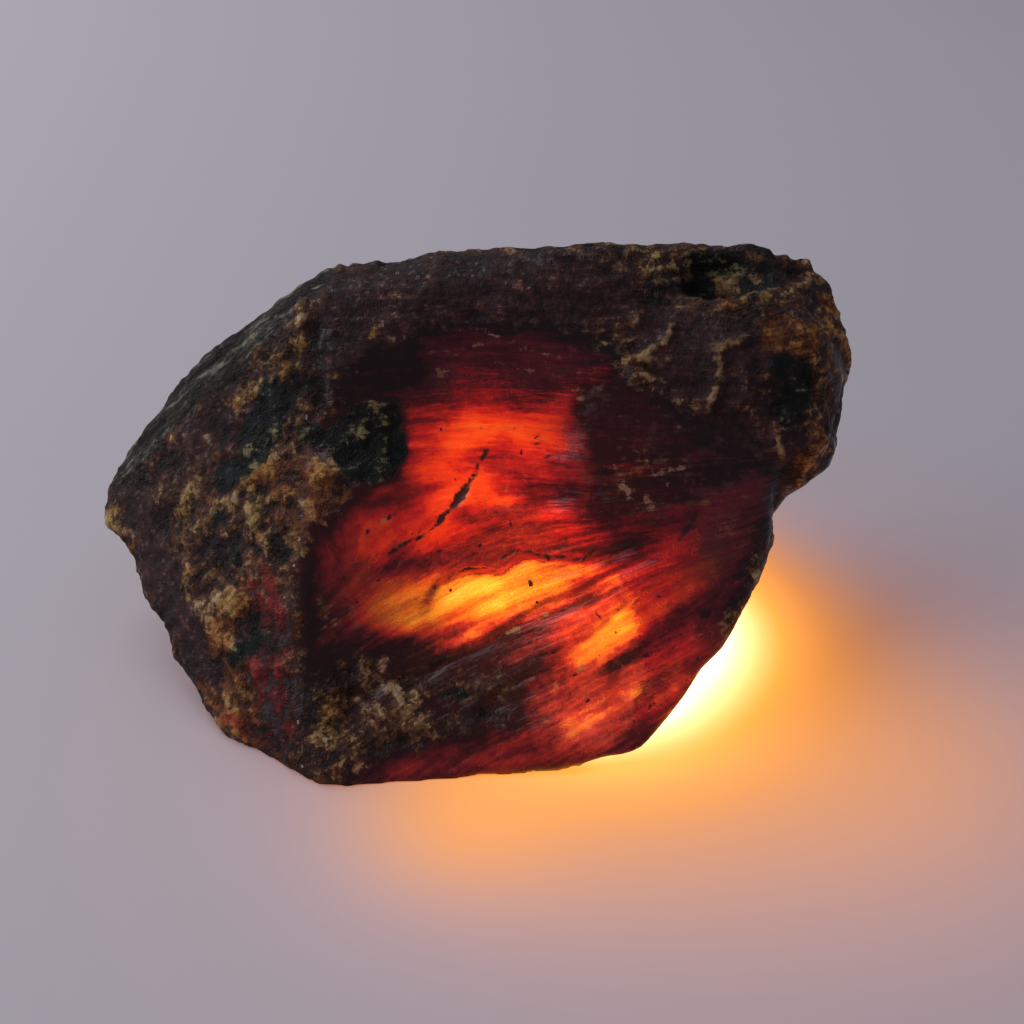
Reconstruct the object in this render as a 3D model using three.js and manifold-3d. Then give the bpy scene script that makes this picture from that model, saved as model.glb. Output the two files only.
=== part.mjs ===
// A hand-sized piece of raw amber, one solid lying on a flat natural break.
//
// Millimetres, +Z up. The origin is under the middle of the stone, on the plane that it rests on.
// +X runs along the stone's length, from its pointed end to its knobbly end. -Y is the side of the large
// glassy break, which leans back as it rises.
//
// The solid is a star-shaped surface round HEART. A field, negative inside the stone, is built from the
// flat breaks between named corners, with knobs added and hollows taken away. The surface is where that
// field is zero along a fan of directions. The resting face is then cut flat.
import * as THREE from "three";
import { ConvexGeometry } from "three/addons/geometries/ConvexGeometry.js";
import { mergeVertices } from "three/addons/utils/BufferGeometryUtils.js";
import Module from "manifold-3d";

const wasm = await Module();
wasm.setup();

// Driving dimensions.
const HEART = new THREE.Vector3(1, 6.5, 14.5); // every part of the surface is in sight of this point
const FAN_DETAIL = 22; // how many times each edge of the icosahedron of directions is split
const FAN_STRETCH = new THREE.Vector3(1.4, 1, 0.9); // packs the directions where the stone is long
const REACH = 60; // further from the heart than any point of the surface
const BISECTIONS = 26; // halvings of REACH that find a point of the surface
const ARRIS_ROUND = 0.55; // how softly two flat breaks meet
const KNOB_BLEND = 4; // how softly a knob grows out of the stone
const HOLLOW_BLEND = 0.7; // hollows meet the rest in a crisper rim
const SWELL = { height: 0.55, length: 11 }; // long, low unevenness of the whole surface
const PITTING = { height: 0.3, length: 3.6 }; // shorter unevenness of the weathered skin
const FACET_TOLERANCE = 0.02; // how far the surface may move where small facets are merged
const MERGE_DISTANCE = 0.001; // vertices of the fan closer than this are one
const SAME_PLANE = 0.9999; // cosine of the angle within which two planes of the hull are one break

// Corners of the stone before its knobs and hollows, as [x, y, z].
const CORNERS = {
  // The arris between the crusted left side and the glassy break, from the toe up.
  toe: [-11.2, -24, -1.5],
  arrisLow: [-15.1, -15, 8],
  arrisMiddle: [-15.1, -9, 14.3],
  arrisHigh: [-14, 1, 24.9],
  arrisTop: [-13.8, 5, 29.2],
  // The pointed left end and the edge that overhangs the ground below it.
  toeLeft: [-19.4, -17.6, -1.5],
  leftFoot: [-25.4, -8.6, 1.9],
  leftFlank: [-29.7, -3, 6.2],
  underPoint: [-32, 1.2, 8.6],
  point: [-36.8, 5.9, 11.3],
  // The long bevel above the left side: its near edge, then its far one.
  bevelPoint: [-33.2, 5.6, 13.5],
  bevelLow: [-27.9, 6.2, 19.5],
  bevelMiddle: [-23.8, 5.6, 23.2],
  bevelHigh: [-20.1, 6.5, 26.9],
  bevelTop: [-15.2, 7.5, 31.4],
  edgeLow: [-31.6, 10.9, 18.3],
  edgeMiddle: [-25.5, 10.8, 24.6],
  edgeHigh: [-19.9, 10.1, 29.1],
  // The brow, where the glassy break meets the dark top, and the crest behind it.
  browLeft: [-3.6, 6.4, 29.9],
  browMiddle: [4.5, 5.5, 28.4],
  browRight: [15.4, 5, 26.9],
  crestLeft: [-13.6, 12.6, 33.7],
  crestMiddleLeft: [-6.8, 13.6, 34],
  crestMiddle: [2.7, 13.6, 34.1],
  crestMiddleRight: [11, 14, 33.7],
  crestRight: [16.5, 14, 34.6],
  crestKnob: [24.6, 14.4, 35.3],
  // The blunt, knobbly right end.
  knobTop: [30.4, 16, 34.2],
  knobCorner: [34.4, 15.6, 31.3],
  knobSide: [35.7, 15, 27.2],
  flankHigh: [34, 8.9, 21.7],
  flankLow: [33, 5.2, 17.5],
  rightLow: [23.8, -9.9, 9.9],
  rightLower: [21.3, -12, 7.2],
  heel: [19.4, -14.8, 4.6],
  frontRight: [14.6, -18.6, 1.2],
  frontMiddle: [7.9, -20.3, 0.2],
  // The outline of the resting face.
  footFront: [-2.3, -22.6, -1.5],
  footFrontRight: [9, -16, -1],
  footRight: [14.5, -8, -1],
  footBackRight: [14.5, 6, -1],
  footBack: [3, 16.5, -1],
  footBackLeft: [-13.5, 11.5, -1],
  footLeft: [-21.5, -4, -1],
  // The far side.
  backLow: [5, 23.5, 9],
  backRight: [27, 20, 18],
  backHighRight: [19, 22, 28],
  backHighLeft: [-10, 19.5, 27],
  backLeft: [-24, 17, 14],
};

// Rounded growths of the crust, as ellipsoids.
const KNOBS = [
  { name: "nodule", at: [24.3, 11, 21.6], radii: [9, 8, 10] },
  { name: "shoulder knob", at: [29.8, 11.5, 25.5], radii: [3.6, 4.5, 4] },
  { name: "flank knob", at: [28.6, 6.2, 18.5], radii: [3.6, 4, 3.4] },
];

// Shell-shaped breaks and hollows, as ellipsoids that bite into the surface.
const HOLLOWS = [
  { name: "upper window", at: [3, -28, 48.5], radii: [40, 40, 40] },
  { name: "lower window", at: [-1, -36.5, 33.5], radii: [36, 36, 36] },
  { name: "notch", at: [31, -2, 13], radii: [4, 4, 3.5] },
  { name: "pit", at: [22.4, 10.8, 34.4], radii: [4.5, 3, 3.6] },
];

const GROUND = { width: 200, depth: 40 }; // the block that cuts the resting face

const SCRAMBLE = { x: 127.1, y: 311.7, z: 74.7, gain: 43758.5453 }; // unrelated numbers, large enough to mix

// A repeatable number from 0 to 1 for a grid point.
function hash(x, y, z) {
  const mixed = Math.sin(x * SCRAMBLE.x + y * SCRAMBLE.y + z * SCRAMBLE.z) * SCRAMBLE.gain;
  return mixed - Math.floor(mixed);
}

const ease = (t) => t * t * (3 - 2 * t);

// Smooth noise from -1 to 1 with features about one unit long.
function noise(x, y, z) {
  const [ix, iy, iz] = [x, y, z].map(Math.floor);
  const [u, v, w] = [x - ix, y - iy, z - iz].map(ease);
  let sum = 0;
  for (const dx of [0, 1])
    for (const dy of [0, 1])
      for (const dz of [0, 1]) {
        const share = (dx ? u : 1 - u) * (dy ? v : 1 - v) * (dz ? w : 1 - w);
        sum += share * hash(ix + dx, iy + dy, iz + dz);
      }
  return 2 * sum - 1;
}

const unevenness = (p, { height, length }) => height * noise(p.x / length, p.y / length, p.z / length);

function softMax(a, b, softness) {
  const share = THREE.MathUtils.clamp(0.5 + (a - b) / (2 * softness), 0, 1);
  return THREE.MathUtils.lerp(b, a, share) + softness * share * (1 - share);
}

const softMin = (a, b, softness) => -softMax(-a, -b, softness);

// The flat breaks: the planes of the corners' convex hull.
function flatBreaks() {
  const hull = new ConvexGeometry(Object.values(CORNERS).map((c) => new THREE.Vector3(...c)));
  const corner = hull.getAttribute("position");
  const planes = [];
  for (let i = 0; i < corner.count; i += 3) {
    const [a, b, c] = [0, 1, 2].map((k) => new THREE.Vector3().fromBufferAttribute(corner, i + k));
    const plane = new THREE.Plane().setFromCoplanarPoints(a, b, c);
    const known = planes.some((other) => other.normal.dot(plane.normal) > SAME_PLANE);
    if (!known) planes.push(plane);
  }
  return planes;
}

const breaks = flatBreaks();

// Roughly the distance from an ellipsoid's surface, negative inside it.
function ellipsoid(p, { at, radii }) {
  const [x, y, z] = [p.x - at[0], p.y - at[1], p.z - at[2]];
  const [rx, ry, rz] = radii;
  const ratio = Math.hypot(x / rx, y / ry, z / rz);
  const slope = Math.hypot(x / rx ** 2, y / ry ** 2, z / rz ** 2);
  return slope > 0 ? (ratio * (ratio - 1)) / slope : -Math.min(...radii);
}

// Negative inside the stone, positive outside.
function field(p) {
  let value = -REACH;
  for (const plane of breaks) value = softMax(value, plane.distanceToPoint(p), ARRIS_ROUND);
  for (const knob of KNOBS) value = softMin(value, ellipsoid(p, knob), KNOB_BLEND);
  for (const hollow of HOLLOWS) value = softMax(value, -ellipsoid(p, hollow), HOLLOW_BLEND);
  return value + unevenness(p, SWELL) + unevenness(p, PITTING);
}

// The point where a ray from the heart leaves the stone.
function surfacePoint(direction) {
  let [near, far] = [0, REACH];
  const point = new THREE.Vector3();
  for (let i = 0; i < BISECTIONS; i++) {
    const middle = (near + far) / 2;
    point.copy(HEART).addScaledVector(direction, middle);
    if (field(point) < 0) near = middle;
    else far = middle;
  }
  return point;
}

// The whole surface, before the resting face is cut.
function roughStone() {
  const fan = new THREE.IcosahedronGeometry(1, FAN_DETAIL);
  fan.deleteAttribute("normal");
  fan.deleteAttribute("uv");
  const geometry = mergeVertices(fan, MERGE_DISTANCE);
  const position = geometry.getAttribute("position");
  for (let i = 0; i < position.count; i++) {
    const direction = new THREE.Vector3().fromBufferAttribute(position, i).multiply(FAN_STRETCH);
    const point = surfacePoint(direction.normalize());
    position.setXYZ(i, point.x, point.y, point.z);
  }
  return geometry;
}

function solidOf(geometry) {
  return new wasm.Manifold(
    new wasm.Mesh({
      numProp: 3,
      vertProperties: geometry.getAttribute("position").array,
      triVerts: new Uint32Array(geometry.getIndex().array),
    }),
  );
}

function geometryOf(solid) {
  const { vertProperties, triVerts } = solid.getMesh();
  return new THREE.BufferGeometry()
    .setAttribute("position", new THREE.BufferAttribute(vertProperties, 3))
    .setIndex(new THREE.BufferAttribute(triVerts, 1));
}

// The block of ground that the stone is cut flat against.
function ground() {
  const box = new THREE.BoxGeometry(GROUND.width, GROUND.width, GROUND.depth);
  box.deleteAttribute("normal");
  box.deleteAttribute("uv");
  return mergeVertices(box.translate(0, 0, -GROUND.depth / 2));
}

// The finished stone, centred over the origin.
function amberGeometry() {
  const stone = solidOf(roughStone()).subtract(solidOf(ground()));
  const geometry = geometryOf(stone.simplify(FACET_TOLERANCE));
  geometry.computeBoundingBox();
  const middle = geometry.boundingBox.getCenter(new THREE.Vector3());
  geometry.translate(-middle.x, -middle.y, 0);
  geometry.computeVertexNormals();
  return geometry;
}

const amber = new THREE.MeshStandardMaterial({ color: 0x6e1c0c, roughness: 0.35, metalness: 0 });
const piece = new THREE.Mesh(amberGeometry(), amber);
piece.name = "amber_piece";

const rawAmber = new THREE.Group();
rawAmber.add(piece);

export default rawAmber;
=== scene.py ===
"""A rough piece of amber on a pale floor, in soft daylight and in a warm glow that the floor gives off.

The stone is the CAD solid's surface, remeshed finely and given its breaks, flutes, grains and pit. Its
colours come from listed strokes and from procedural noise. Dark flakes are sealed in the resin, just
behind the glassy break. Lengths are in millimetres in the frame of the CAD model, unless a comment says
otherwise. The front of the stone, everything that faces -Y, is mapped by (x, z), since it leans back all over
and never covers itself.
"""
import math
from types import SimpleNamespace

import bmesh
import bpy
import numpy as np
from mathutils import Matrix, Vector


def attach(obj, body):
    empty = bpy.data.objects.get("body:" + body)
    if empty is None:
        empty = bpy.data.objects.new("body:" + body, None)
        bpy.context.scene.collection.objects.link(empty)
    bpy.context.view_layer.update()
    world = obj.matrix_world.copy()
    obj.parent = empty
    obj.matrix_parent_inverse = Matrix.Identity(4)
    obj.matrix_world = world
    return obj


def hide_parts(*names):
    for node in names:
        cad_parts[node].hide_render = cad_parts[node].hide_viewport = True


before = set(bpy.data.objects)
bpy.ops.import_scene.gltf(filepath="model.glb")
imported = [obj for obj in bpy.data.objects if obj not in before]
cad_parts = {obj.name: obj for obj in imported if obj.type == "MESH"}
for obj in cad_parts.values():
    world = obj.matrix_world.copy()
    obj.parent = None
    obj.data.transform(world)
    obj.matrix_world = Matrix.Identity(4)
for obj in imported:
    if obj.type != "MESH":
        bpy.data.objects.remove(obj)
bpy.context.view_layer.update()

MM = 0.001
NODE = "amber_piece"

VOXEL = 0.33  # edge length of the stone's mesh
SMOOTHING_ROUNDS = 14  # enough to lose the CAD solid's facets
SET_DOWN = 0.25  # what ends up lower than this after the smoothing goes back onto the floor
FRONT_LEAN = 1.35  # how much longer a step up the leaning front is than its rise

FRAY = 1.1  # how far the edges of the listed patches wander
FRAY_SIZE = 3.2  # how long those bends are
NARROW_FRAY = 0.4  # the arris, the lips and the narrow marks wander by this share of it
BEVEL_FRAY = 0.5  # and the edge of the bevel by this one

# The flutes of the break run level high up on the front's own map, and climb to the right lower down.
FLUTES_LEVEL_ABOVE = 27
FLUTES_CLIMB_BELOW = 15
FLUTE_CLIMB = 0.5
FLUTE_PIVOT = 5  # the x at which their height doesn't change
FLUTE_STRETCH = 7
BEVEL_STRETCH = 8

# The relief: how far each feature stands out, or is sunk.
SWELL = 0.3
FLUTES = 0.22
FINE_FLUTES = 0.07
RIPPLE = 0.12
BEVEL_STREAKS = 0.12
BEVEL_CHIPS = 0.3
CHIPS = 0.85
RIB = 0.45
CRACK = 0.2
PIT_DEPTH = 1.3
KNOBS = 0.9
LIP_REACH = 2.4  # how far below a lip its step fades out

# Dark flakes sealed in the resin.
FLECKS = 64
LOWEST_FLECK = 3.5  # so that none comes out under the foot of the break
FLECK_DEPTH = (0.3, 1.7)
FLECK_HALF_LENGTH = (0.09, 0.33)
FLECK_THICKNESS = 0.2  # in half-lengths
FLECK_UNEVENNESS = 0.45


# ---------------------------------------------------------------------------------------------------------
# Noise on arrays of points, all repeatable.

HASH_FACTORS = np.array([73856093, 19349663, 83492791], dtype=np.uint64)
SEED_FACTOR = np.uint64(2654435761)
SCRAMBLING = ((15, 2246822519), (13, 3266489917))
LAST_SHIFT = 16
LARGEST = 0xFFFFFFFF
OCTAVE_SEEDS = 17  # from the seed of one layer of noise to that of the next


def hashed(cells, seed):
    """A number from 0 to 1 for each row of whole numbers."""
    x, y, z = (cells.astype(np.int64).astype(np.uint64) * HASH_FACTORS).T
    h = x ^ y ^ z ^ (np.uint64(seed) * SEED_FACTOR)
    for shift, factor in SCRAMBLING:
        h ^= h >> np.uint64(shift)
        h = (h * np.uint64(factor)) & np.uint64(LARGEST)
    h ^= h >> np.uint64(LAST_SHIFT)
    return h.astype(np.float64) / LARGEST


def noise(points, size, seed):
    """Smooth noise from -1 to 1 with features about size across."""
    p = points / size
    base = np.floor(p)
    f = p - base
    f = f * f * f * (f * (f * 6 - 15) + 10)
    total = np.zeros(len(p))
    for corner in np.ndindex(2, 2, 2):
        weight = np.prod(np.where(corner, f, 1 - f), axis=1)
        total += weight * hashed(base + corner, seed)
    return 2 * total - 1


def layered(points, size, octaves, seed, gain, shape):
    """Layers of noise put through shape, each half the size of the last, as their weighted mean."""
    total = np.zeros(len(points))
    weight, reach = 1.0, 0.0
    for octave in range(octaves):
        total += weight * shape(noise(points, size / 2 ** octave, seed + OCTAVE_SEEDS * octave))
        reach += weight
        weight *= gain
    return total / reach


def fractal(points, size, octaves, seed, gain=0.5):
    """Noise from -1 to 1 with finer and finer detail."""
    return layered(points, size, octaves, seed, gain, lambda value: value)


def ridged(points, size, octaves, seed):
    """Sharp ridges, from 0 in the hollows to 1 on the ridges."""
    return layered(points, size, octaves, seed, 0.5, lambda value: (1 - np.abs(value)) ** 2)


def grains(points, size, seed):
    """Distance to the middle of the nearest scattered grain, in grain sizes."""
    p = points / size
    base = np.floor(p)
    nearest = np.full(len(p), np.inf)
    for offset in np.ndindex(3, 3, 3):
        cell = base + np.array(offset) - 1
        middle = cell + np.stack([hashed(cell, seed + k) for k in range(3)], axis=1)
        nearest = np.minimum(nearest, np.linalg.norm(p - middle, axis=1))
    return nearest


def ramp(low, high, value):
    """A smooth step from 0 at low to 1 at high."""
    t = np.clip((value - low) / (high - low), 0, 1)
    return t * t * (3 - 2 * t)


# ---------------------------------------------------------------------------------------------------------
# The listed features of the front, as strokes: points (x, z) and a half-width. One point is a blob.

# The arris between the crusted left side, which runs out to a point, and the glassy break. The bevel above
# it starts at an edge of its own.
ARRIS = ((-13.8, 29), (-14.6, 23), (-14.9, 17), (-15.3, 12), (-15.1, 6), (-13.9, 0))
BEVEL_EDGE = ((-34, 13.5), (-32.7, 14.5), (-27.8, 19.6), (-23.7, 22.8), (-20.3, 26.4), (-15.7, 31), (-12, 33))

# Crust that is left on the break: round the toe, along the arris, on the blunt end and over the brow.
CRUST = [
    (((-11, 32), (0, 32), (12, 31.5)), 3.4),
    (((-13, 28), (-6, 30)), 1.8),
    (((-13, 1.5), (-11.5, 4.5)), 3.0),
    (((-11, 6.8), (-8, 6.6)), 0.9),
    (((-12, 5.4), (-8.6, 6.4)), 1.2),
    (((-10, 3.2), (-5, 3.4)), 2.2),
    (((-6.6, 5.2), (-1.5, 4.9), (2.4, 5.4)), 1.1),
    (((-5, 2.8), (2.6, 3.9)), 0.9),
    (((-14, 18.5), (-10.5, 20.5)), 2.2),
    (((-15, 27), (-13, 24)), 1.6),
    (((-13.4, 30), (-14.2, 24), (-14.6, 18), (-15.2, 12), (-15, 6), (-13.8, 0)), 0.7),
    (((13, 31), (27, 30)), 3.8),
    (((12, 35), (24, 35.4), (31, 32.5)), 2.6),
    (((17, 27.5), (28, 24)), 4.0),
    (((20, 25), (27, 21.5)), 2.6),
    (((30, 27), (31, 19)), 3.4),
    (((28.5, 17), (26.8, 13.6), (24, 10)), 0.7),
]
# Thin, broken films of crust. The wide ones on the right of the break also darken it there as painted shade.
FILM_AND_SHADE = [
    (((-13, 12), (-10.5, 9)), 2.4),
    (((-10, 33), (14, 33.5)), 2.6),
    (((13.6, 18.1), (17, 17)), 2.2),
    (((18, 21), (24, 18)), 3.0),
    (((-1.6, 19.2), (2, 19.2)), 0.7),
    (((4.7, 17.3), (5.3, 19.6)), 0.6),
    (((-1, 13.6), (2.5, 14), (7, 14.2)), 1.2),
    (((9, 21), (12, 17), (20, 19)), 2.0),
    (((3.3, 8.6), (6.1, 9.8)), 0.6),
    (((0, 3), (7, 4)), 0.8),
    (((22, 8), (26, 13)), 1.5),
    (((-9, 28.8), (-7, 28)), 1.6),
    (((-3.8, 29.4), (4.3, 28), (11.6, 27.4)), 0.8),
    (((14, 22), (24, 15)), 2.4),
    (((11.5, 24), (20, 21.5)), 2.6),
    (((12.4, 18.6), (17.6, 18.2)), 2.0),
    (((13, 16.6), (17, 16)), 1.2),
    (((-6, 6.8), (-1, 8)), 0.8),
    (((-8.6, 9.4), (-5.5, 7.4)), 1.2),
    (((3.2, 8.5), (6.2, 9.9)), 0.5),
    (((8, 6), (13, 7)), 0.5),
    (((-3, 5), (1.5, 6.4), (5, 8.4)), 0.6),
]

# Black-green mats of old crust.
DARK = [
    (((-17.6, 24.6), (-18.4, 22.3), (-19.6, 20.2)), 1.5),
    (((-19.4, 19.4), (-22.4, 17.6)), 1.0),
    (((-9.3, 22.2), (-8.9, 20.9)), 3.2),
    (((-14.5, 22.3), (-12, 21.3)), 1.2),
    (((-20.9, 13.2),), 0.9),
    (((-23.1, 14.7),), 0.6),
    (((-18.8, 8.1), (-20.7, 5.6)), 0.7),
    (((27.9, 26.5), (29.7, 25.3), (28.9, 23)), 1.4),
    (((20.3, 10),), 0.25),
    (((-2.2, 4.6), (-0.4, 5.0)), 0.4),
]

# Mustard and ochre crust.
OCHRE = [
    (((-15.8, 28.6), (-17.4, 26.8)), 0.9),
    (((-19.9, 24.2), (-21.6, 22.6)), 0.8),
    (((-25.9, 15.6), (-26.3, 13.6)), 0.8),
    (((-23.4, 15.9), (-22, 15.9)), 0.7),
    (((-19, 17.6), (-18.4, 15.6)), 0.9),
    (((-15.6, 15.8), (-13, 15.4)), 1.0),
    (((-22.6, 11.3), (-21.6, 10.6)), 0.9),
    (((-25.9, 10.4), (-25.7, 8.6)), 0.7),
    (((-20.5, 10.6), (-21.9, 8.4)), 0.4),
    (((-34.3, 11.4), (-33.4, 9.4)), 0.9),
    (((-19.6, 3.9), (-21, 2.6)), 0.7),
    (((-12.4, 5.4), (-11, 3.4)), 0.9),
    (((-9.6, 29.4), (-9, 28.6)), 0.35),
    (((16.9, 34.5), (17.3, 33.4)), 0.9),
    (((24.6, 31.2), (26.4, 31.5)), 0.8),
    (((26.3, 24.5), (25.7, 25)), 0.4),
    (((32.8, 24.2), (31, 22.8)), 0.6),
]

# Warm brown crust, its orange partly a painted glow of light shining through it.
RUSSET = [
    (((-18.6, 18.8), (-15.1, 19.2), (-12.4, 18.3)), 1.6),
    (((-17, 16.6), (-13.6, 16.6)), 1.2),
    (((-21.2, 3.4), (-18.6, 1.6)), 1.2),
    (((20.5, 32.2), (24, 31.4)), 0.8),
    (((27, 29), (31, 28)), 1.5),
    (((31.5, 21), (28.5, 17)), 1.0),
    (((33, 30), (33.8, 26), (32.6, 21.5)), 0.9),
    (((-24, 2.6), (-20, 1), (-16.4, 0.6)), 0.9),
    (((-20.5, 5.5), (-18.4, 3)), 1.5),
    (((-20.3, 10.8), (-21.7, 8.4), (-22.4, 5.4)), 1.2),
]

# Plum-brown skin, smoother than the rest of the crust.
PLUM = [
    (((-11, 32), (0, 32), (12, 31.5)), 3.4),
    (((-12, 27.5), (-4, 30)), 2.0),
    (((-31, 12.5), (-28.5, 8)), 2.6),
    (((-27, 8), (-24, 3.8)), 2.0),
    (((-26, 19), (-21.5, 23)), 1.6),
    (((17, 29), (27, 28)), 2.6),
    (((18, 26), (26, 25)), 2.4),
    (((22, 22.5), (29, 20.5)), 2.2),
    (((12, 24), (22, 20)), 2.4),
]

# Pale weathered ribs on the blunt end.
RIBS = [
    (((18.4, 29.5), (17.6, 28.5), (16.4, 27.9), (14.9, 27.1)), 0.35),
    (((14.4, 26.2), (16.1, 25.7), (17.5, 25.4)), 0.25),
    (((17.5, 25.4), (17.0, 24.5), (16.0, 24.3)), 0.1),
    (((24.6, 29.0), (23.2, 28.6), (22.1, 28.0), (22.3, 26), (21.2, 23.4)), 0.4),
    (((24.6, 25.8), (24.2, 23.6)), 0.1),
    (((16.9, 32.2), (20.7, 32)), 0.4),
    (((22.4, 31.6), (26.3, 31.9)), 0.5),
    (((27, 26.8), (26.1, 25.4)), 0.2),
    (((27.4, 21.8), (27.8, 19.6)), 0.3),
    (((31.6, 24.6), (32.6, 21.6)), 0.2),
]

# The resin of the break: its own tint with painted light and shade on it, paler from red to yellow where
# light from below shines through, and darker where it is shaded. It is dark wine-red where nothing is listed.
LIT_RED = [
    (((-2, 24.2), (4, 24.2)), 1.6),
    (((-3, 20.6), (6.5, 20.8)), 3.0),
    (((-8.5, 15.4), (5.5, 15.4)), 2.8),
    (((-6.6, 10.6), (7, 12.2)), 3.2),
    (((10, 12.6), (19, 13.2)), 1.2),
    (((9, 4.6), (15, 5), (20, 8)), 2.8),
    (((10, 8), (15, 10.4), (21, 13)), 2.4),
    (((2, 2.0), (9, 2.4)), 0.6),
    (((-6, 0.8), (2, 1.0), (13, 1.4)), 0.7),
]
LIT_CRIMSON = [
    (((8, 25), (9, 22), (10, 17)), 1.8),
    (((-4, 27.4), (3, 28), (9, 26.6)), 1.6),
    (((19, 16.4), (24.5, 17)), 2.4),
    (((1, 6), (8, 8.8)), 1.0),
    (((18, 15.4), (23.5, 14.6)), 1.8),
    (((-11, 13), (-8, 9)), 2.0),
    (((3, 8.6), (12, 11)), 2.6),
]
LIT_ORANGE = [
    (((-2, 20.6), (0.7, 22.2), (4, 21.8), (6.1, 22)), 1.3),
    (((-4.5, 18.6), (0, 18), (3, 17.4)), 1.1),
    (((-6.5, 10.2), (-3, 10.6), (1, 11.2), (5.6, 12.6)), 2.3),
    (((-2, 7.3), (0.2, 8.4)), 0.9),
    (((-4.6, 14.6), (-2.2, 16.4)), 0.8),
    (((9.9, 7.1), (14.7, 9.8), (20.9, 12.8)), 0.7),
    (((8.6, 2.5), (10.6, 2.6)), 0.5),
    (((15.4, 4.3), (18.3, 5.2)), 0.6),
    (((16.6, 3.2), (17.6, 3.6)), 0.2),
    (((-5.4, 1.8), (-2.5, 2.6)), 0.0),
    (((-6, 0.6), (-5.2, 0.8)), 0.1),
    (((8.6, 13.1), (12.2, 12.9)), 0.6),
]
LIT_YELLOW = [
    (((-2.2, 10.8), (0, 11.5), (3, 11.8), (4.8, 12.6)), 0.8),
    (((-0.9, 12), (-0.3, 12.2)), 0.45),
    (((0.6, 9.8), (1.8, 10.4)), 0.7),
    (((0, 21.6), (4.4, 21.5)), 0.5),
    (((-3.6, 17.2), (0.4, 18.2)), 0.5),
    (((-1.6, 7.6), (0, 8.3)), 0.4),
    (((-5.8, 9.6), (-4, 10)), 0.5),
]
SHADED = [
    (((-9, 8.5), (-3, 6.3), (2.5, 8), (8, 10.7), (12, 13)), 1.2),
    (((2, 5.5), (9, 9), (13, 11.6)), 0.5),
    (((-3, 4.2), (3, 5.2), (6, 7.2)), 0.7),
    (((7.8, 19.8), (12, 20.2), (15, 19)), 1.2),
    (((10, 18.5), (14, 16.5), (18.5, 17)), 2.4),
    (((12, 22.5), (22, 20)), 3.0),
    (((13, 24), (20, 20)), 2.6),
    (((12, 6.2), (19, 10.6), (24, 13)), 0.5),
    (((-9, 25.5), (-6, 27)), 2.0),
]

# Thin places in the skin of the left side, with red showing through.
THIN = [
    (((-17.6, 12.8), (-16.6, 10.4), (-16.5, 9)), 1.1),
    (((-19.1, 11), (-17.6, 9.6)), 1.0),
    (((-17.8, 6.6), (-16.6, 3.6)), 1.9),
    (((-21, 1.6), (-17, 1.2)), 0.8),
]

# Narrow cracks, and dark lines along the lips of the steps that are painted shade.
CRACKS_AND_SHADE_LINES = [
    (((1.1, 20.1), (0.3, 18.8), (-0.7, 17.9)), 0.2),
    (((-0.7, 17.9), (-1.6, 17.1)), 0.4),
    (((-1.6, 17.1), (-4.1, 15.2), (-6.3, 14.4), (-7.2, 14.1)), 0.2),
    (((-4.1, 15.2), (-6.8, 12.8), (-8.6, 11.4)), 0.05),
    (((2.6, 20.2), (2.9, 18.4), (2.2, 17.3)), 0.1),
    (((11.4, 20), (11.2, 18.6), (11.8, 17.3)), 0.15),
    (((14.5, 18.7), (14.2, 17.4), (14.8, 16.4)), 0.05),
    (((-2, 7), (1, 7.4), (4.4, 8.2), (7.8, 10.3)), 0.05),
    (((-3.5, 6.5), (-2.4, 6.8)), 0.3),
    (((-2.8, 14.3), (-4.6, 13), (-7.1, 11.6)), 0.0),
    (((-2.5, 20.2), (4.7, 20.2), (6.4, 20.1)), -0.1),
    (((6.4, 20.1), (7.4, 20.4), (9.1, 20.5), (11.7, 20.2)), 0.1),
    (((-3.9, 10.6), (-2.7, 11.9), (-0.3, 12.9), (1.4, 12.9)), 0.15),
    (((2.6, 13.7), (3.8, 14.3), (5.3, 14.1), (6.8, 13.9)), 0.2),
    (((6.8, 13.9), (9.6, 13.8), (11.2, 14.6)), 0.1),
    (((10.4, 14.5), (11.6, 14.8), (14.8, 14.2)), 0.1),
    (((19.9, 16.5), (19.3, 15.7), (18.4, 14.8)), 0.2),
    (((18.9, 14.4), (19.1, 13.9)), 0.1),
    (((20.6, 10.2), (20.2, 9.9)), 0.1),
    (((-6.4, 23.2), (-5.6, 23.6)), 0.1),
    (((5.6, 20.9), (6.2, 21)), 0.15),
    (((-8.2, 12.2), (-7.6, 12)), 0.1),
]

# Thin pale scratches and flakes of skin on the clear break.
SCRATCHES = [
    (((11.4, 16.4), (11.7, 17.6), (12.8, 18.9)), 0.0),
    (((11.7, 18.4), (13, 19.6), (15, 20.1)), 0.0),
    (((16.3, 18.9), (17.9, 19.4), (19.5, 19.6)), 0.1),
    (((19.7, 19.2), (22.3, 19.4), (24.8, 19.7)), -0.05),
    (((13.4, 18.6), (13.9, 18)), 0.5),
    (((15.3, 17.8), (15.8, 17)), 0.4),
    (((16.4, 19.3), (18.6, 19.5)), 0.4),
    (((17.3, 18.4), (18.4, 17.6)), 0.2),
    (((14.6, 20.1), (17.2, 20.3), (19.5, 19.8)), 0.0),
    (((3.3, 8.6), (4, 8.9)), 0.4),
    (((5.6, 9.7), (6.4, 10)), 0.3),
    (((-0.2, 29.1), (2.5, 28.4), (5.2, 27.5), (7.9, 27.1)), 0.2),
    (((-3.8, 27.4), (-1.1, 27.4), (1.6, 28)), 0.2),
    (((9.3, 25.9), (11.5, 26.2), (13.4, 26.5)), 0.15),
    (((2, 26.6), (5.4, 25.9), (8.8, 25.6)), 0.1),
    (((-8.5, 29.7), (-8, 30.1)), 0.3),
    (((-3.4, 26), (-2.6, 25.8)), 0.5),
    (((3, 18.8), (3.2, 17.4)), 0.1),
    (((-7.6, 16.4), (-6.8, 16.2)), 0.3),
]

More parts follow.
